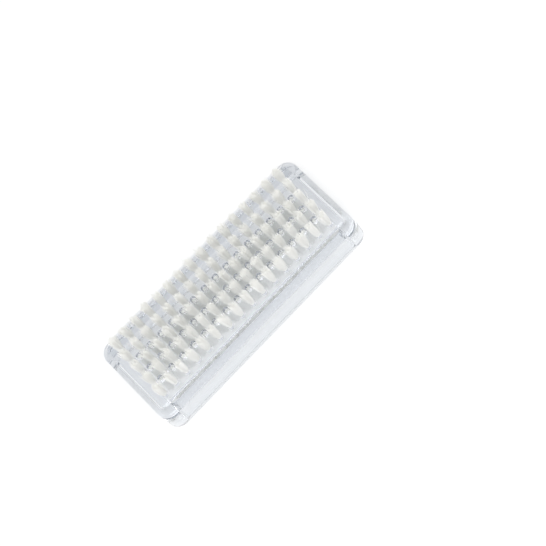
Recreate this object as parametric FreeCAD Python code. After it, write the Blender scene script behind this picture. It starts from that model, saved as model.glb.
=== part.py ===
import FreeCAD, Part
import math
import os

from FreeCAD import Vector

# A two-sided nail brush, in millimetres.
# The clear block stands on the rim of its tray, with the long tufts pointing up.
# X runs along the block, Y across it, and the origin is the middle of the rim plane.

# Block
body_length = 90.0
body_width = 37.0
corner_radius = 4.5
plate_thickness = 5.2
face_bevel_width = 2.8
face_bevel_height = 3.3
edge_round = 0.5

# Tray on the underside of the block
tray_depth = 8.3
side_wall_at_rim = 4.2
side_wall_at_floor = 5.2
end_wall_at_rim = 4.4
end_wall_at_floor = 5.4
tray_corner_at_rim = 2.6
tray_corner_at_floor = 1.6
rim_edge_round = 0.4

# Dip in the rim of each end wall
dip_depth = 4.5
dip_flat_width = 21.0
dip_rise_width = 5.5

# Tuft holes
long_rows = 16
long_columns = 5
short_rows = 15
short_columns = 3
outer_row_inset = 6.5
outer_column_inset = 6.9
hole_diameter = 2.2
hole_depth = 2.5
drill_point_depth = 0.6

# Tufts, each a folded bundle of bristles
long_tuft_length = 8.2
short_tip_recess = 0.6
tip_diameter = 2.9
tip_crown = 0.5
root_clearance = 0.05
fold_depth = 0.35

# Flat metal anchor that holds the fold of each tuft
anchor_thickness = 0.4
anchor_height = 1.1
anchor_clearance = 0.03
anchor_turn_degrees = 35.0

# How far every cutting shape runs past the surface that it cuts
overrun = 1.0

# How near an edge has to be to a height or an outline to count as lying on it
edge_tolerance = 0.05

# Worked out from the sizes above
body_height = tray_depth + plate_thickness
row_pitch = (body_length - 2 * outer_row_inset) / (long_rows - 1)
column_pitch = (body_width - 2 * outer_column_inset) / (long_columns - 1)
hole_radius = hole_diameter / 2
root_radius = hole_radius - root_clearance
tip_radius = tip_diameter / 2
short_tuft_length = tray_depth - short_tip_recess


def rounded_outline(length, width, radius, height):
    """Closed wire of a rounded rectangle at a height, the same edges in the same order for every size."""
    half_x, half_y = length / 2, width / 2
    slant = radius * math.sqrt(0.5)
    edges = []
    corners = ((1, 1), (-1, 1), (-1, -1), (1, -1))
    for index, (sign_x, sign_y) in enumerate(corners):
        next_x, next_y = corners[(index + 1) % 4]
        centre = Vector(sign_x * (half_x - radius), sign_y * (half_y - radius), height)
        next_centre = Vector(next_x * (half_x - radius), next_y * (half_y - radius), height)
        across = Vector(sign_x * radius, 0, 0)
        along = Vector(0, sign_y * radius, 0)
        if sign_x * sign_y < 0:
            across, along = along, across
        middle = Vector(sign_x * slant, sign_y * slant, 0)
        edges.append(Part.Arc(centre + across, centre + middle, centre + along).toShape())
        turned = Vector(next_x * radius, 0, 0) if next_x * next_y > 0 else Vector(0, next_y * radius, 0)
        edges.append(Part.LineSegment(centre + along, next_centre + turned).toShape())
    return Part.Wire(edges)


def block():
    """Outer form: upright sides from the rim up, then a bevel in to the bristle face."""
    upright_height = body_height - face_bevel_height
    outer = rounded_outline(body_length, body_width, corner_radius, 0)
    upright = Part.Face(outer).extrude(Vector(0, 0, upright_height))
    face_radius = max(corner_radius - face_bevel_width, edge_round)
    shoulder = rounded_outline(body_length, body_width, corner_radius, upright_height)
    face = rounded_outline(
        body_length - 2 * face_bevel_width, body_width - 2 * face_bevel_width, face_radius, body_height)
    bevel = Part.makeLoft([shoulder, face], True, True)
    return upright.fuse(bevel).removeSplitter()


def level_edges(shape, height):
    """Edges of a shape that lie flat at a height."""
    def is_near(level):
        return abs(level - height) < edge_tolerance

    return [edge for edge in shape.Edges if is_near(edge.BoundBox.ZMin) and is_near(edge.BoundBox.ZMax)]


def tray_space():
    """Tapered hollow of the tray, open below the rim."""
    rim_length, rim_width = body_length - 2 * end_wall_at_rim, body_width - 2 * side_wall_at_rim
    floor_length, floor_width = body_length - 2 * end_wall_at_floor, body_width - 2 * side_wall_at_floor
    rim = rounded_outline(rim_length, rim_width, tray_corner_at_rim, 0)
    floor = rounded_outline(floor_length, floor_width, tray_corner_at_floor, tray_depth)
    hollow = Part.makeLoft([rim, floor], True, True)
    mouth = Part.Face(rim).extrude(Vector(0, 0, -overrun))
    return hollow.fuse(mouth)


def dip_space(side):
    """Cut through one end wall: a flat low part between two arcs that rise to the rim."""
    radius = (dip_rise_width ** 2 + dip_depth ** 2) / (2 * dip_depth)
    half_flat = dip_flat_width / 2
    half_open = half_flat + dip_rise_width
    turn = math.atan2(dip_rise_width, radius - dip_depth) / 2
    reach_y, reach_z = radius * math.sin(turn), radius * (1 - math.cos(turn))
    inner_x = body_length / 2 - end_wall_at_floor

    def at(y, z):
        return Vector(inner_x, y, z)

    right = Part.Arc(
        at(half_flat, dip_depth), at(half_flat + reach_y, dip_depth - reach_z), at(half_open, 0)).toShape()
    left = Part.Arc(
        at(-half_open, 0), at(-half_flat - reach_y, dip_depth - reach_z), at(-half_flat, dip_depth)).toShape()
    outline = Part.Wire([
        left,
        Part.LineSegment(at(-half_flat, dip_depth), at(half_flat, dip_depth)).toShape(),
        right,
        Part.LineSegment(at(half_open, 0), at(half_open, -overrun)).toShape(),
        Part.LineSegment(at(half_open, -overrun), at(-half_open, -overrun)).toShape(),
        Part.LineSegment(at(-half_open, -overrun), at(-half_open, 0)).toShape(),
    ])
    cut = Part.Face(outline).extrude(Vector(end_wall_at_floor + overrun, 0, 0))
    if side < 0:
        cut.rotate(Vector(0, 0, 0), Vector(0, 0, 1), 180)
    return cut


def is_at_tray_mouth(edge):
    """True for an edge that lies on or within the outline of the tray at the rim."""
    box = edge.BoundBox
    reach_x = body_length / 2 - end_wall_at_rim + edge_tolerance
    reach_y = body_width / 2 - side_wall_at_rim + edge_tolerance
    return max(-box.XMin, box.XMax) < reach_x and max(-box.YMin, box.YMax) < reach_y


def tuft_hole():
    """Blind hole with a drill point: the mouth is at zero and the hole goes down."""
    bore = Part.makeCylinder(hole_radius, hole_depth + overrun, Vector(0, 0, -hole_depth))
    point = Part.makeCone(0, hole_radius, drill_point_depth, Vector(0, 0, -hole_depth - drill_point_depth))
    return bore.fuse(point).removeSplitter()


def anchor_base():
    """Height of the underside of the anchor, measured from the mouth of the hole."""
    return -hole_depth + fold_depth


def anchor_window(growth):
    """Straight bar with the section of the anchor, grown by a clearance, long enough to cross the tuft."""
    thickness = anchor_thickness + 2 * growth
    height = anchor_height + 2 * growth
    length = hole_diameter + 2 * overrun
    corner = Vector(-length / 2, -thickness / 2, anchor_base() - growth)
    return Part.makeBox(length, thickness, height, corner)


def turned_for_anchor(shape):
    """Turns a shape about the hole's axis to the angle of the anchors."""
    shape.rotate(Vector(0, 0, 0), Vector(0, 0, 1), anchor_turn_degrees)
    return shape


def tuft(free_length):
    """Bundle from the drill point up, spreading to its crowned tip, with the window for its anchor."""
    bottom = -hole_depth - drill_point_depth + root_clearance
    shoulder = -hole_depth + root_clearance
    crown_base = free_length - tip_crown
    crown_radius = (tip_radius ** 2 + tip_crown ** 2) / (2 * tip_crown)
    half_turn = math.asin(tip_radius / crown_radius) / 2
    crown_middle = Vector(
        crown_radius * math.sin(half_turn), 0, free_length - crown_radius * (1 - math.cos(half_turn)))
    corners = [
        Vector(0, 0, bottom),
        Vector(root_radius, 0, shoulder),
        Vector(root_radius, 0, 0),
        Vector(tip_radius, 0, crown_base),
    ]
    edges = [Part.LineSegment(a, b).toShape() for a, b in zip(corners, corners[1:])]
    top = Vector(0, 0, free_length)
    edges.append(Part.Arc(corners[-1], crown_middle, top).toShape())
    edges.append(Part.LineSegment(top, corners[0]).toShape())
    bundle = Part.Face(Part.Wire(edges)).revolve(Vector(0, 0, 0), Vector(0, 0, 1), 360)
    return bundle.cut(turned_for_anchor(anchor_window(anchor_clearance)))


def anchor():
    """Flat metal anchor that spans the hole."""
    half_thickness = anchor_thickness / 2
    reach = math.sqrt((hole_radius - anchor_clearance) ** 2 - half_thickness ** 2)
    corner = Vector(-reach, -half_thickness, anchor_base())
    return turned_for_anchor(Part.makeBox(2 * reach, anchor_thickness, anchor_height, corner))


def grid_places(rows, columns):
    """Centre of each hole, row by row, spread evenly about the middle of the block."""
    return [
        [Vector((row - (rows - 1) / 2) * row_pitch, (column - (columns - 1) / 2) * column_pitch, 0)
         for column in range(columns)]
        for row in range(rows)
    ]


def on_face(shape, place):
    """Copy with its hole mouth on the bristle face, pointing up."""
    copy = shape.copy()
    copy.translate(place + Vector(0, 0, body_height))
    return copy


def on_floor(shape, place):
    """Copy with its hole mouth on the tray floor, pointing down."""
    copy = shape.copy()
    copy.rotate(Vector(0, 0, 0), Vector(1, 0, 0), 180)
    copy.translate(place + Vector(0, 0, tray_depth))
    return copy


def clear_body():
    """Clear plastic block with its tray, dips and tuft holes."""
    body = block()
    body = body.makeFillet(edge_round, level_edges(body, 0) + level_edges(body, body_height))
    body = body.cut(tray_space())
    body = body.makeFillet(rim_edge_round, [edge for edge in level_edges(body, 0) if is_at_tray_mouth(edge)])
    for side in (1, -1):
        body = body.cut(dip_space(side))
    hole = tuft_hole()
    cutters = [on_face(hole, place) for row in grid_places(long_rows, long_columns) for place in row]
    cutters += [on_floor(hole, place) for row in grid_places(short_rows, short_columns) for place in row]
    return body.cut(Part.makeCompound(cutters))


def export(name, shape):
    """Writes one node as a STEP file."""
    shape.exportStep("parts/" + name + ".step")
    print(name, len(shape.Solids), "solids", round(shape.Volume, 1), "mm3", "valid", shape.isValid())


def export_side(label, rows, columns, free_length, placed):
    """Writes the tufts of one side row by row, and their anchors column by column."""
    places = grid_places(rows, columns)
    bundle = tuft(free_length)
    for index, row in enumerate(places, 1):
        export(f"{label}_tufts_row_{index:02d}", Part.makeCompound([placed(bundle, place) for place in row]))
    blade = anchor()
    for index in range(columns):
        blades = [placed(blade, row[index]) for row in places]
        export(f"{label}_anchors_column_{index + 1}", Part.makeCompound(blades))


os.makedirs("parts", exist_ok=True)
export("clear_body", clear_body())
export_side("long", long_rows, long_columns, long_tuft_length, on_face)
export_side("short", short_rows, short_columns, short_tuft_length, on_floor)
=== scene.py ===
"""A two-sided nail brush: a clear moulded block with bristle tufts on its face and in its tray.

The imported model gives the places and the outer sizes. This file dresses it: the block in clear plastic,
each row of tufts in folded bristles, and the anchors in metal. All lengths are in metres.
"""

import logging
import math
import random
from dataclasses import dataclass, field
from enum import Enum
from typing import Any

import bpy
from mathutils import Matrix, Vector


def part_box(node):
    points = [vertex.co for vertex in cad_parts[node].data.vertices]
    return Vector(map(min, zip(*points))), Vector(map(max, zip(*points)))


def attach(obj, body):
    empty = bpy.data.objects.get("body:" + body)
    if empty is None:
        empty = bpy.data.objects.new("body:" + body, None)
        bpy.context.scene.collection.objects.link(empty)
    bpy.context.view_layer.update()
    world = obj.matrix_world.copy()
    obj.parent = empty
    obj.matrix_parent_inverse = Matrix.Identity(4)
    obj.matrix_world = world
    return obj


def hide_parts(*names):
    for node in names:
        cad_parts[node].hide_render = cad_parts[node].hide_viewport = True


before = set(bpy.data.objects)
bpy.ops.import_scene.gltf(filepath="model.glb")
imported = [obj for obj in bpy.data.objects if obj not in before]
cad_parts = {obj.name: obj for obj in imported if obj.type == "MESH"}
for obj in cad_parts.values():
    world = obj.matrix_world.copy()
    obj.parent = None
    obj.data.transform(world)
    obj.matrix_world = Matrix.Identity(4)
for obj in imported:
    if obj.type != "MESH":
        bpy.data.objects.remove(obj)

Triple = tuple[float, float, float]

MM = 0.001
BODY = "root"
TONE = "tone"
WHITE = (1.0, 1.0, 1.0)
log = logging.getLogger("nail_brush")


class Side(Enum):
    """The two bristled sides of the block, by the word that starts their nodes' names."""

    LONG = "long"
    SHORT = "short"


def select_only(*objects: bpy.types.Object) -> None:
    """Leaves object mode, deselects everything and selects some objects.

    Args:
        objects: The objects to select, of which the first becomes the active one.
    """
    if bpy.context.object and bpy.context.object.mode != "OBJECT":
        bpy.ops.object.mode_set(mode="OBJECT")
    bpy.ops.object.select_all(action="DESELECT")
    for item in objects:
        item.select_set(True)
    bpy.context.view_layer.objects.active = objects[0]


def own_copy(piece: bpy.types.Object, name: str) -> bpy.types.Object:
    """Copies an object with its own mesh, loose in the scene.

    Args:
        piece: The object to copy.
        name: The name of the copy.

    Returns:
        The copy, which has no parent and no custom properties.
    """
    mesh = piece.data.copy()
    mesh.name = name
    copy = bpy.data.objects.new(name, mesh)
    bpy.context.scene.collection.objects.link(copy)
    return copy


def joined(parts: list[bpy.types.Object], name: str) -> bpy.types.Object:
    """Joins objects into one.

    Args:
        parts: The objects, of which the first takes in the others.
        name: The name of the result.

    Returns:
        The joined object.
    """
    select_only(*parts)
    bpy.ops.object.join()
    whole = bpy.context.object
    whole.name = name
    whole.data.name = name
    return whole


def dress(piece: bpy.types.Object, finish: bpy.types.Material) -> None:
    """Puts one material on all of a piece."""
    piece.data.materials.clear()
    piece.data.materials.append(finish)


class Number:
    """A shader socket that holds a number, on which arithmetic builds Math nodes."""

    def __init__(self, shader: "Shader", socket: bpy.types.NodeSocket) -> None:
        """Keeps the shader that the new nodes go to and the socket."""
        self.shader = shader
        self.socket = socket

    def _math(self, operation: str, first: "Number | float", second: "Number | float") -> "Number":
        """Adds one Math node and returns its result."""
        made = self.shader.node("ShaderNodeMath", {"operation": operation}, {0: first, 1: second})
        return Number(self.shader, made.outputs[0])

    def __add__(self, other: "Number | float") -> "Number":
        """Sum."""
        return self._math("ADD", self, other)

    __radd__ = __add__

    def __mul__(self, other: "Number | float") -> "Number":
        """Product."""
        return self._math("MULTIPLY", self, other)

    __rmul__ = __mul__

    def __pow__(self, other: "Number | float") -> "Number":
        """Power."""
        return self._math("POWER", self, other)

    def __rpow__(self, other: "Number | float") -> "Number":
        """Power of a plain number."""
        return self._math("POWER", other, self)

    def larger(self, other: "Number | float") -> "Number":
        """The larger of the two."""
        return self._math("MAXIMUM", self, other)


@dataclass(frozen=True)
class Grain:
    """A noise pattern in the object's own coordinates, which can be scaled along each axis.

    The scale is in waves to a metre, the detail in octaves, and the roughness is the share that each octave
    keeps of the last.
    """

    scale: float
    detail: float
    roughness: float
    stretch: Triple | None = None


class Shader:
    """One material or world under construction."""

    # Numbers of a Mix node's colour sockets, whose names it uses more than once
    MIX_FIRST = 6
    MIX_SECOND = 7
    MIX_RESULT = 2

    def __init__(self, owner: bpy.types.Material | bpy.types.World) -> None:
        """Keeps the owner and its node tree, and empties the tree.

        Args:
            owner: The material or world to build.
        """
        owner.use_nodes = True
        self.owner = owner
        self.tree = owner.node_tree
        self.tree.nodes.clear()

    def node(self, kind: str, settings: dict[str, Any] | None = None,
             sockets: dict[str | int, Any] | None = None) -> bpy.types.Node:
        """Adds a node.

        Args:
            kind: The node's type name.
            settings: Its own properties.
            sockets: Values or links of its inputs, by name or number.

        Returns:
            The node.
        """
        made = self.tree.nodes.new(kind)
        for key, value in (settings or {}).items():
            setattr(made, key, value)
        for key, value in (sockets or {}).items():
            self._feed(made.inputs[key], value)
        return made

    def _feed(self, target: bpy.types.NodeSocket, value: Any) -> None:
        """Links or sets one input.

        Args:
            target: The input.
            value: A socket or Number to link, or a plain value to set.
        """
        if isinstance(value, Number):
            value = value.socket
        if isinstance(value, bpy.types.NodeSocket):
            self.tree.links.new(value, target)
        elif isinstance(value, tuple) and target.type == "RGBA":
            target.default_value = (*value, 1.0)
        else:
            target.default_value = value

    def number(self, made: bpy.types.Node, output: str) -> Number:
        """Wraps a node's output for arithmetic."""
        return Number(self, made.outputs[output])

    def place(self, stretch: Triple | None) -> bpy.types.NodeSocket:
        """The surface point in the object's own coordinates.

        Args:
            stretch: Scale along each axis, or None to leave them as they are.

        Returns:
            The coordinates.
        """
        point = self.node("ShaderNodeTexCoord").outputs["Object"]
        if stretch is None:
            return point
        return self.node("ShaderNodeMapping", {}, {"Vector": point, "Scale": stretch}).outputs["Vector"]

    def noise(self, grain: Grain) -> Number:
        """Noise from 0 to 1.

        Args:
            grain: Its pattern.

        Returns:
            The noise.
        """
        made = self.node("ShaderNodeTexNoise", {}, {
            "Vector": self.place(grain.stretch),
            "Scale": grain.scale,
            "Detail": grain.detail,
            "Roughness": grain.roughness,
        })
        return self.number(made, "Fac")

    def bump(self, height: Number, depth: float, strength: float) -> bpy.types.NodeSocket:
        """A normal that shows a height, with its depth in metres."""
        made = self.node("ShaderNodeBump", {}, {"Height": height, "Distance": depth, "Strength": strength})
        return made.outputs["Normal"]

    def blend(self, share: Number, first: Triple, second: Triple) -> bpy.types.NodeSocket:
        """A colour between two, the second where the share is one.

        Args:
            share: Share of the second colour.
            first: The first colour.
            second: The second colour.

        Returns:
            The blended colour.
        """
        colours = {0: share, self.MIX_FIRST: first, self.MIX_SECOND: second}
        return self.node("ShaderNodeMix", {"data_type": "RGBA"}, colours).outputs[self.MIX_RESULT]

    def either(self, share: Number, first: bpy.types.Node, second: bpy.types.Node) -> bpy.types.NodeSocket:
        """A surface or light between two, the second where the share is one.

        Args:
            share: Share of the second.
            first: The node of the first.
            second: The node of the second.

        Returns:
            The mixed surface or light.
        """
        sides = {0: share, 1: first.outputs[0], 2: second.outputs[0]}
        return self.node("ShaderNodeMixShader", {}, sides).outputs[0]

    def finish(self, surface: bpy.types.NodeSocket,
               inside: bpy.types.NodeSocket | None = None) -> bpy.types.Material | bpy.types.World:
        """Links the surface, and what fills the inside if given.

        Args:
            surface: The surface of a material, or the light of a world.
            inside: What fills a solid.

        Returns:
            The material or world.
        """
        is_world = isinstance(self.owner, bpy.types.World)
        links = {"Surface": surface}
        if inside is not None:
            links["Volume"] = inside
        self.node("ShaderNodeOutputWorld" if is_world else "ShaderNodeOutputMaterial", {}, links)
        return self.owner


@dataclass(frozen=True)
class ClearPlastic:
    """Clear moulded plastic with faint mould waves and fine handling marks, blue-grey where it is deep."""

    tint: Triple = (0.985, 0.987, 0.99)
    depth_colour: Triple = (0.4, 0.46, 0.54)
    depth_density: float = 40.0
    refraction: float = 1.55
    polish: float = 0.012
    haze: float = 0.03
    marks: Grain = Grain(scale=1400.0, detail=3.0, roughness=0.6)
    mark_contrast: float = 3.0
    waves: Grain = Grain(scale=90.0, detail=1.0, roughness=0.4)
    wave_depth: float = 0.03 * MM
    wave_strength: float = 1.0
    shadow_tint: Triple = (0.992, 0.994, 0.996)

    def make(self) -> bpy.types.Material:
        """Builds the material, which lets the light of the lamps and of nearby surfaces through.

        Returns:
            The material.
        """
        shader = Shader(bpy.data.materials.new("clear_plastic_finish"))
        marks = shader.noise(self.marks) ** self.mark_contrast
        plastic = shader.node("ShaderNodeBsdfPrincipled", {}, {
            "Base Color": self.tint,
            "Roughness": marks * self.haze + self.polish,
            "IOR": self.refraction,
            "Transmission Weight": 1.0,
            "Normal": shader.bump(shader.noise(self.waves), self.wave_depth, self.wave_strength),
        })
        path = shader.node("ShaderNodeLightPath")
        passes = shader.number(path, "Is Shadow Ray").larger(shader.number(path, "Is Diffuse Ray"))
        through = shader.node("ShaderNodeBsdfTransparent", {}, {"Color": self.shadow_tint})
        depth = shader.node("ShaderNodeVolumeAbsorption", {}, {
            "Color": self.depth_colour,
            "Density": self.depth_density,
        })
        return shader.finish(shader.either(passes, plastic, through), depth.outputs[0])


@dataclass(frozen=True)
class Nylon:
    """Off-white nylon bristles, each a slightly different tone, with fine streaks along it."""

    colour: Triple = (0.99, 0.99, 0.98)
    shade: Triple = (0.94, 0.94, 0.922)
    roughness: float = 0.42
    roughness_range: float = 0.2
    refraction: float = 1.53
    tone_share: float = 0.75
    streaks: Grain = Grain(scale=5200.0, detail=2.0, roughness=0.5, stretch=(1.0, 1.0, 0.12))

    def make(self) -> bpy.types.Material:
        """Builds the material, which reads each bristle's own tone.

        Returns:
            The material.
        """
        shader = Shader(bpy.data.materials.new("nylon_finish"))
        tone = shader.number(shader.node("ShaderNodeAttribute", {"attribute_name": TONE}), "Fac")
        streaks = shader.noise(self.streaks)
        share = tone * self.tone_share + streaks * (1.0 - self.tone_share)
        nylon = shader.node("ShaderNodeBsdfPrincipled", {}, {
            "Base Color": shader.blend(share, self.shade, self.colour),
            "Roughness": streaks * self.roughness_range + self.roughness,
            "IOR": self.refraction,
        })
        return shader.finish(nylon.outputs[0])


@dataclass(frozen=True)
class AnchorMetal:
    """Cut aluminium strip with drawing lines along it."""

    colour: Triple = (0.78, 0.78, 0.77)
    dull: Triple = (0.58, 0.58, 0.58)
    roughness: float = 0.3
    roughness_range: float = 0.25
    lines: Grain = Grain(scale=9000.0, detail=3.0, roughness=0.6, stretch=(0.1, 0.1, 1.0))
    line_depth: float = 0.01 * MM
    line_strength: float = 0.5

    def make(self) -> bpy.types.Material:
        """Builds the material.

        Returns:
            The material.
        """
        shader = Shader(bpy.data.materials.new("anchor_metal_finish"))
        lines = shader.noise(self.lines)
        metal = shader.node("ShaderNodeBsdfPrincipled", {}, {
            "Base Color": shader.blend(lines, self.dull, self.colour),
            "Metallic": 1.0,
            "Roughness": lines * self.roughness_range + self.roughness,
            "Normal": shader.bump(lines, self.line_depth, self.line_strength),
        })
        return shader.finish(metal.outputs[0])


@dataclass
class ClearBlock:
    """The moulded block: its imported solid, merged and smoothed."""

    node: str = "clear_body"
    merge_distance: float = 0.002 * MM
    smooth_angle: float = math.radians(24.0)
    finish: ClearPlastic = field(default_factory=ClearPlastic)

    def build(self) -> bpy.types.Object:
        """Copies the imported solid, merges and smooths it, and dresses it.

        Returns:
            The block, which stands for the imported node.
        """
        block = own_copy(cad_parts[self.node], "moulded_block")
        select_only(block)
        bpy.ops.mesh.customdata_custom_splitnormals_clear()
        bpy.ops.object.mode_set(mode="EDIT")
        bpy.ops.mesh.select_all(action="SELECT")
        bpy.ops.mesh.remove_doubles(threshold=self.merge_distance)
        bpy.ops.object.mode_set(mode="OBJECT")
        bpy.ops.object.shade_smooth_by_angle(angle=self.smooth_angle)
        dress(block, self.finish.make())
        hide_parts(self.node)
        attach(block, BODY)
        log.info("%s: %d faces", block.name, len(block.data.polygons))
        return block


@dataclass(frozen=True)
class BristleShape:
    """Sizes of one bristle, which is folded in the middle and has two legs.

    Its legs bow: they spread most near the mouth of the hole, and less than in proportion above it. The pick
    slack is how near a point has to be to a height to count as lying on it.
    """

    thickness: float = 0.21 * MM
    sides: int = 4
    fold_steps: int = 2
    leg_steps: int = 3
    tip_taper: float = 0.85
    tip_length: float = 0.06 * MM
    spread_power: float = 0.45
    pick_slack: float = 0.02 * MM


@dataclass(frozen=True)
class Clump:
    """Bristles that lean alike: their middle along the anchor, and the lean that they share."""

    middle: float
    lean_along: float
    lean_across: float


@dataclass
class TuftMaker:
    """Makes tufts of one length as bundles of folded bristles.

    The mouth of the hole is at zero, the free ends point up and the fold lies below. Bristles stand in ranks
    either side of the anchor, from the first rank out, and a lean is a slope off upright.
    """

    free_length: float
    root_depth: float
    root_width: float
    tip_width: float
    seed: int
    bristle: BristleShape = field(default_factory=BristleShape)
    ranks: int = 5
    bends: int = 3
    variants: int = 8
    first_rank: float = 0.32 * MM
    first_tip: float = 0.1 * MM
    fold_rise: float = 0.1 * MM
    row_spacing: float = 0.16 * MM
    anchor_turn: float = math.radians(35.0)
    least_bend: float = 0.85
    bend_range: float = 0.4
    openness: tuple[float, float] = (1.1, 1.9)
    clumps: int = 5
    clump_lean: float = 0.024
    lean: float = 0.02
    rise: float = 0.982
    rise_spread: float = 0.015
    stray_share: float = 0.12
    stray_lean: float = 0.085

    def folded_bristle(self, rank: int, bend: float) -> bpy.types.Object:
        """Models one bristle: a spun fold, and two legs extruded up from it and out.

        Args:
            rank: How far out its legs stand from the anchor, from 0.
            bend: Share of the tip's outward reach that this one takes.

        Returns:
            The bristle, with its legs either side of the plane where Y is zero.
        """
        shape = self.bristle
        spare = self.root_width / 2 - shape.thickness / 2 - self.first_rank
        gap = self.first_rank + spare * rank / (self.ranks - 1)
        bottom = -self.root_depth + shape.thickness + self.fold_rise * (self.ranks - 1 - rank)
        fold_height = min(bottom + gap, -shape.thickness)
        bpy.ops.object.select_all(action="DESELECT")
        bpy.ops.mesh.primitive_circle_add(
            vertices=shape.sides, radius=shape.thickness / 2, location=(0.0, gap, fold_height))
        piece = bpy.context.object
        bpy.ops.object.transform_apply()
        bpy.ops.object.mode_set(mode="EDIT")
        bpy.ops.mesh.select_all(action="SELECT")
        bpy.ops.mesh.spin(
            steps=shape.fold_steps, angle=-math.pi, center=(0.0, 0.0, fold_height), axis=(1.0, 0.0, 0.0))
        bpy.ops.object.mode_set(mode="OBJECT")
        tip_spare = self.tip_width / 2 - shape.thickness / 2 - self.first_tip
        reach = self.first_tip + tip_spare * rank / (self.ranks - 1) * bend - gap
        for sign in (1.0, -1.0):
            self._grow_leg(piece, sign, gap, fold_height, reach)
        bpy.ops.object.mode_set(mode="EDIT")
        bpy.ops.mesh.select_all(action="SELECT")
        bpy.ops.mesh.fill_holes(sides=0)
        bpy.ops.mesh.select_all(action="SELECT")
        bpy.ops.mesh.normals_make_consistent(inside=False)
        bpy.ops.object.mode_set(mode="OBJECT")
        return piece

    def _grow_leg(self, piece: bpy.types.Object, sign: float, gap: float, base: float, reach: float) -> None:
        """Extrudes one leg of a bristle from its fold up to the mouth and on to its tip.

        Args:
            piece: The bristle so far.
            sign: The side of the anchor that the leg stands on.
            gap: Distance of the leg from the anchor's middle.
            base: Height where the fold ends.
            reach: How far the tip stands out beyond the leg's root.
        """
        shape = self.bristle
        for vertex in piece.data.vertices:
            at_height = abs(vertex.co.z - base) < shape.pick_slack
            vertex.select = at_height and abs(vertex.co.y - sign * gap) < shape.thickness
        for edge in piece.data.edges:
            edge.select = all(piece.data.vertices[index].select for index in edge.vertices)
        bpy.ops.object.mode_set(mode="EDIT")
        bpy.ops.mesh.extrude_region_move(TRANSFORM_OT_translate={"value": (0.0, 0.0, -base)})
        length = self.free_length - shape.tip_length
        for step in range(1, shape.leg_steps + 1):
            before = ((step - 1) / shape.leg_steps) ** shape.spread_power
            after = (step / shape.leg_steps) ** shape.spread_power
            bpy.ops.mesh.extrude_region_move(TRANSFORM_OT_translate={
                "value": (0.0, sign * reach * (after - before), length / shape.leg_steps)})
        bpy.ops.mesh.extrude_region_move(TRANSFORM_OT_translate={"value": (0.0, 0.0, shape.tip_length)})
        bpy.ops.transform.resize(value=(shape.tip_taper,) * 3)
        bpy.ops.object.mode_set(mode="OBJECT")

    def places_along_anchor(self, rank: int) -> list[float]:
        """Places of the bristles of a rank along the anchor, as far as the hole leaves room.

        Args:
            rank: The rank, from 0.

        Returns:
            Distances from the middle of the anchor.
        """
        half = self.root_width / 2 - self.bristle.thickness / 2
        out = self.first_rank + (half - self.first_rank) * rank / (self.ranks - 1)
        room = math.sqrt(max(half ** 2 - out ** 2, 0.0))
        count = int(2 * room / self.row_spacing) + 1
        return [(index - (count - 1) / 2) * self.row_spacing for index in range(count)]

    def _clump(self, chance: random.Random) -> Clump:
        """Draws one clump of bristles.

        Args:
            chance: Where its place and lean come from.

        Returns:
            The clump.
        """
        half = self.root_width / 2
        middle = chance.uniform(-half, half)
        lean_along = chance.gauss(0.0, self.clump_lean)
        lean_across = chance.gauss(0.0, self.clump_lean)
        return Clump(middle, lean_along, lean_across)

    def tuft(self, bristles: list[list[bpy.types.Object]], chance: random.Random,
             name: str) -> bpy.types.Object:
        """Bundles copies of the bristles into one tuft.

        Args:
            bristles: The modelled bristles, by rank and then by bend.
            chance: Where its unevenness comes from.
            name: The name of the tuft.

        Returns:
            The tuft.
        """
        half = self.root_width / 2
        openness = chance.uniform(*self.openness)
        clumps = [self._clump(chance) for _ in range(self.clumps)]
        parts = []
        for rank, choices in enumerate(bristles):
            for along in self.places_along_anchor(rank):
                copy = own_copy(chance.choice(choices), name)
                flare = (self.tip_width - self.root_width) / 2 * (along / half) / self.free_length * openness
                spread = self.stray_lean if chance.random() < self.stray_share else self.lean
                clump = min(clumps, key=lambda item: abs(item.middle - along))
                lean_along = flare + clump.lean_along + chance.gauss(0.0, spread)
                lean_across = clump.lean_across + chance.gauss(0.0, spread)
                rise = min(chance.gauss(self.rise, self.rise_spread), 1.0)
                self._lean(copy, along, lean_along, lean_across, rise)
                self._tone(copy, chance.uniform(0.0, 1.0))
                parts.append(copy)
        return joined(parts, name)

    def _lean(self, piece: bpy.types.Object, along: float, lean_along: float, lean_across: float,
              rise: float) -> None:
        """Moves a bristle to its place along the anchor and leans what stands above the mouth.

        Args:
            piece: The bristle.
            along: Its place along the anchor.
            lean_along: Its lean along the anchor.
            lean_across: Its lean across the anchor.
            rise: Share of the full height that its ends reach.
        """
        for vertex in piece.data.vertices:
            height = max(vertex.co.z, 0.0)
            bow = self.free_length * (height / self.free_length) ** self.bristle.spread_power
            vertex.co.x += along + lean_along * bow
            vertex.co.y += lean_across * bow
            if vertex.co.z > 0.0:
                vertex.co.z *= rise

    @staticmethod
    def _tone(piece: bpy.types.Object, value: float) -> None:
        """Keeps a bristle's own tone on its points.

        Args:
            piece: The bristle.
            value: Its tone, from 0 to 1.
        """
        tones = piece.data.attributes.new(TONE, "FLOAT", "POINT")
        for item in tones.data:
            item.value = value

    def make(self) -> list[bpy.types.Object]:
        """Makes the different tufts, with the anchor's plane turned to its angle.

        Returns:
            The tufts.
        """
        chance = random.Random(self.seed)
        bristles = [
            [self.folded_bristle(rank, self.least_bend + self.bend_range * bend / (self.bends - 1))
             for bend in range(self.bends)]
            for rank in range(self.ranks)
        ]
        tufts = [self.tuft(bristles, chance, f"tuft_{index}") for index in range(self.variants)]
        for piece in (bristle for choices in bristles for bristle in choices):
            bpy.data.objects.remove(piece)
        for piece in tufts:
            piece.data.transform(Matrix.Rotation(self.anchor_turn, 4, "Z"))
        return tufts


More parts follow.
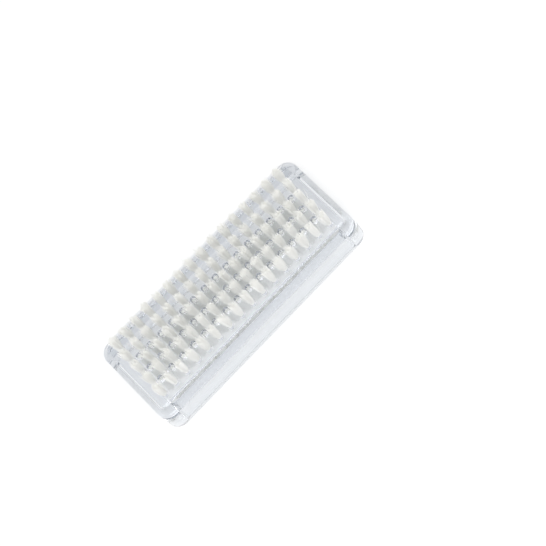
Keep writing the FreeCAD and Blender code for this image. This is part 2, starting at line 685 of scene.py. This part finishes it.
@dataclass
class TuftSide:
    """All the tufts of one side of the block, row by row."""

    side: Side
    columns: int
    seed: int
    finish: bpy.types.Material
    root_depth: float = 3.05 * MM
    root_width: float = 2.1 * MM
    tip_width: float = 2.9 * MM
    stand_lean: float = 0.012
    smooth_angle: float = math.radians(80.0)

    def rows(self) -> list[str]:
        """Names of this side's tuft nodes, in order."""
        return sorted(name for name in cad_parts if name.startswith(f"{self.side.value}_tufts_row_"))

    def build(self) -> list[bpy.types.Object]:
        """Builds every row.

        Returns:
            One piece for each packed row.
        """
        rows = self.rows()
        low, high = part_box(rows[0])
        maker = TuftMaker(
            free_length=high.z - low.z - self.root_depth,
            root_depth=self.root_depth,
            root_width=self.root_width,
            tip_width=self.tip_width,
            seed=self.seed,
        )
        tufts = maker.make()
        chance = random.Random(self.seed + 1)
        pieces = [self._row(name, tufts, chance) for name in rows]
        for piece in tufts:
            bpy.data.objects.remove(piece)
        return pieces

    def _row(self, node: str, tufts: list[bpy.types.Object], chance: random.Random) -> bpy.types.Object:
        """Places copies of the tufts where a packed row has its own, and dresses them.

        Args:
            node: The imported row.
            tufts: The tufts to choose from.
            chance: Where the choice comes from.

        Returns:
            The row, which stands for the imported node.
        """
        low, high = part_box(node)
        middle_x = (low.x + high.x) / 2
        first_y = low.y + self.tip_width / 2
        last_y = high.y - self.tip_width / 2
        copies = []
        for column in range(self.columns):
            place_y = first_y + (last_y - first_y) * column / (self.columns - 1)
            copy = own_copy(chance.choice(tufts), node)
            copy.data.transform(self._stand(Vector((middle_x, place_y, 0.0)), low.z, high.z, chance))
            copies.append(copy)
        row = joined(copies, node.replace("tufts", "bristles"))
        dress(row, self.finish)
        bpy.ops.object.shade_smooth_by_angle(angle=self.smooth_angle)
        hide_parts(node)
        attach(row, BODY)
        log.info("%s: %d faces", row.name, len(row.data.polygons))
        return row

    def _stand(self, place: Vector, low: float, high: float, chance: random.Random) -> Matrix:
        """Stands a tuft in its hole: upright, or head down in the tray.

        Args:
            place: The tuft's middle, at height zero.
            low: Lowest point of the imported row.
            high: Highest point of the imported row.
            chance: Where its lean and its half turn come from.

        Returns:
            The matrix that moves a tuft there.
        """
        lean = Matrix.Identity(4)
        lean[0][2] = chance.gauss(0.0, self.stand_lean)
        lean[1][2] = chance.gauss(0.0, self.stand_lean)
        half_turn = Matrix.Rotation(math.pi * chance.randint(0, 1), 4, "Z")
        if self.side is Side.LONG:
            mouth = Matrix.Translation(place + Vector((0.0, 0.0, low + self.root_depth)))
            return mouth @ half_turn @ lean
        mouth = Matrix.Translation(place + Vector((0.0, 0.0, high - self.root_depth)))
        flip = Matrix.Rotation(math.pi, 4, "X")
        return mouth @ flip @ half_turn @ lean


@dataclass
class Anchors:
    """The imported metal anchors, which only take a finish."""

    finish: AnchorMetal = field(default_factory=AnchorMetal)

    def build(self) -> None:
        """Gives every anchor its metal."""
        metal = self.finish.make()
        for name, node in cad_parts.items():
            if "_anchors_" in name:
                for slot in node.material_slots:
                    slot.material = metal
                log.info("%s: dressed", name)


@dataclass(frozen=True)
class Lamp:
    """A square soft lamp that faces the brush, with its side in metres and its power in watts."""

    name: str
    place: Triple
    width: float
    power: float

    def build(self) -> None:
        """Adds the lamp."""
        data = bpy.data.lights.new(self.name, "AREA")
        data.size = self.width
        data.energy = self.power
        lamp = bpy.data.objects.new(self.name, data)
        bpy.context.scene.collection.objects.link(lamp)
        lamp.location = self.place
        lamp.rotation_euler = (-Vector(self.place)).to_track_quat("-Z", "Y").to_euler()


@dataclass(frozen=True)
class Studio:
    """Pale floor, soft lamps and the camera at the photograph's angle."""

    camera_place: Triple = (0.01656, -0.44069, 0.80942)
    camera_aim: Triple = (0.01416, -0.00245, 0.0)
    camera_roll: float = math.radians(-46.295)
    lens: float = 183.3
    sensor_width: float = 36.0
    clip_end: float = 20.0
    floor_reach: float = 3.0
    floor_colour: Triple = (0.9, 0.9, 0.9)
    floor_roughness: float = 0.9
    floor_glow: float = 0.1
    soft_light: float = 0.6
    background_light: float = 1.0
    key_lamp: Lamp = Lamp("key_lamp", place=(-0.18, -0.4, 1.0), width=0.5, power=5.0)
    fill_lamp: Lamp = Lamp("fill_lamp", place=(0.4, -0.2, 1.1), width=0.9, power=2.4)
    bounces: int = 32
    diffuse_bounces: int = 24
    glossy_bounces: int = 12

    def add_camera(self) -> None:
        """Adds the camera."""
        data = bpy.data.cameras.new("photo_camera")
        data.lens = self.lens
        data.sensor_width = self.sensor_width
        data.clip_end = self.clip_end
        camera = bpy.data.objects.new("photo_camera", data)
        bpy.context.scene.collection.objects.link(camera)
        place, aim = Vector(self.camera_place), Vector(self.camera_aim)
        turn = (aim - place).to_track_quat("-Z", "Y").to_matrix().to_4x4()
        camera.matrix_world = Matrix.Translation(place) @ turn @ Matrix.Rotation(self.camera_roll, 4, "Z")
        bpy.context.scene.camera = camera

    @staticmethod
    def seen(shader: Shader) -> Number:
        """Tells the rays that show the background: straight, mirrored or through the plastic.

        Args:
            shader: The shader that asks.

        Returns:
            One for those rays, and zero for the rays that light the brush.
        """
        path = shader.node("ShaderNodeLightPath")
        camera = shader.number(path, "Is Camera Ray")
        glossy = shader.number(path, "Is Glossy Ray")
        return camera.larger(glossy).larger(shader.number(path, "Is Transmission Ray"))

    def add_floor(self) -> None:
        """Adds the pale floor."""
        bpy.ops.object.select_all(action="DESELECT")
        bpy.ops.mesh.primitive_plane_add(size=2 * self.floor_reach, location=(0.0, 0.0, 0.0))
        floor = bpy.context.object
        floor.name = "floor"
        shader = Shader(bpy.data.materials.new("floor_finish"))
        matte = shader.node("ShaderNodeBsdfPrincipled", {}, {
            "Base Color": self.floor_colour,
            "Roughness": self.floor_roughness,
            "Specular IOR Level": 0.0,
            "Emission Color": WHITE,
            "Emission Strength": self.floor_glow,
        })
        dress(floor, shader.finish(matte.outputs[0]))

    def add_world(self) -> None:
        """Adds the even surrounding light, and the white that shows behind, in and through the brush."""
        world = bpy.data.worlds.new("studio")
        bpy.context.scene.world = world
        shader = Shader(world)
        soft = shader.node("ShaderNodeBackground", {}, {"Color": WHITE, "Strength": self.soft_light})
        white = shader.node("ShaderNodeBackground", {}, {"Color": WHITE, "Strength": self.background_light})
        shader.finish(shader.either(self.seen(shader), soft, white))

    def build(self) -> None:
        """Builds the studio, and lets light pass often enough through plastic and between bristles."""
        scene = bpy.context.scene
        scene.view_settings.view_transform = "Standard"
        scene.cycles.max_bounces = self.bounces
        scene.cycles.diffuse_bounces = self.diffuse_bounces
        scene.cycles.transmission_bounces = self.bounces
        scene.cycles.glossy_bounces = self.glossy_bounces
        scene.cycles.transparent_max_bounces = self.bounces
        self.add_camera()
        self.add_floor()
        self.add_world()
        self.key_lamp.build()
        self.fill_lamp.build()


def main() -> None:
    """Builds the brush and its studio."""
    logging.basicConfig(level=logging.INFO, format="%(name)s %(message)s")
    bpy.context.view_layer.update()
    ClearBlock().build()
    nylon = Nylon().make()
    TuftSide(Side.LONG, columns=5, seed=11, finish=nylon).build()
    TuftSide(Side.SHORT, columns=3, seed=23, finish=nylon).build()
    Anchors().build()
    Studio().build()


if __name__ == "__main__":
    main()
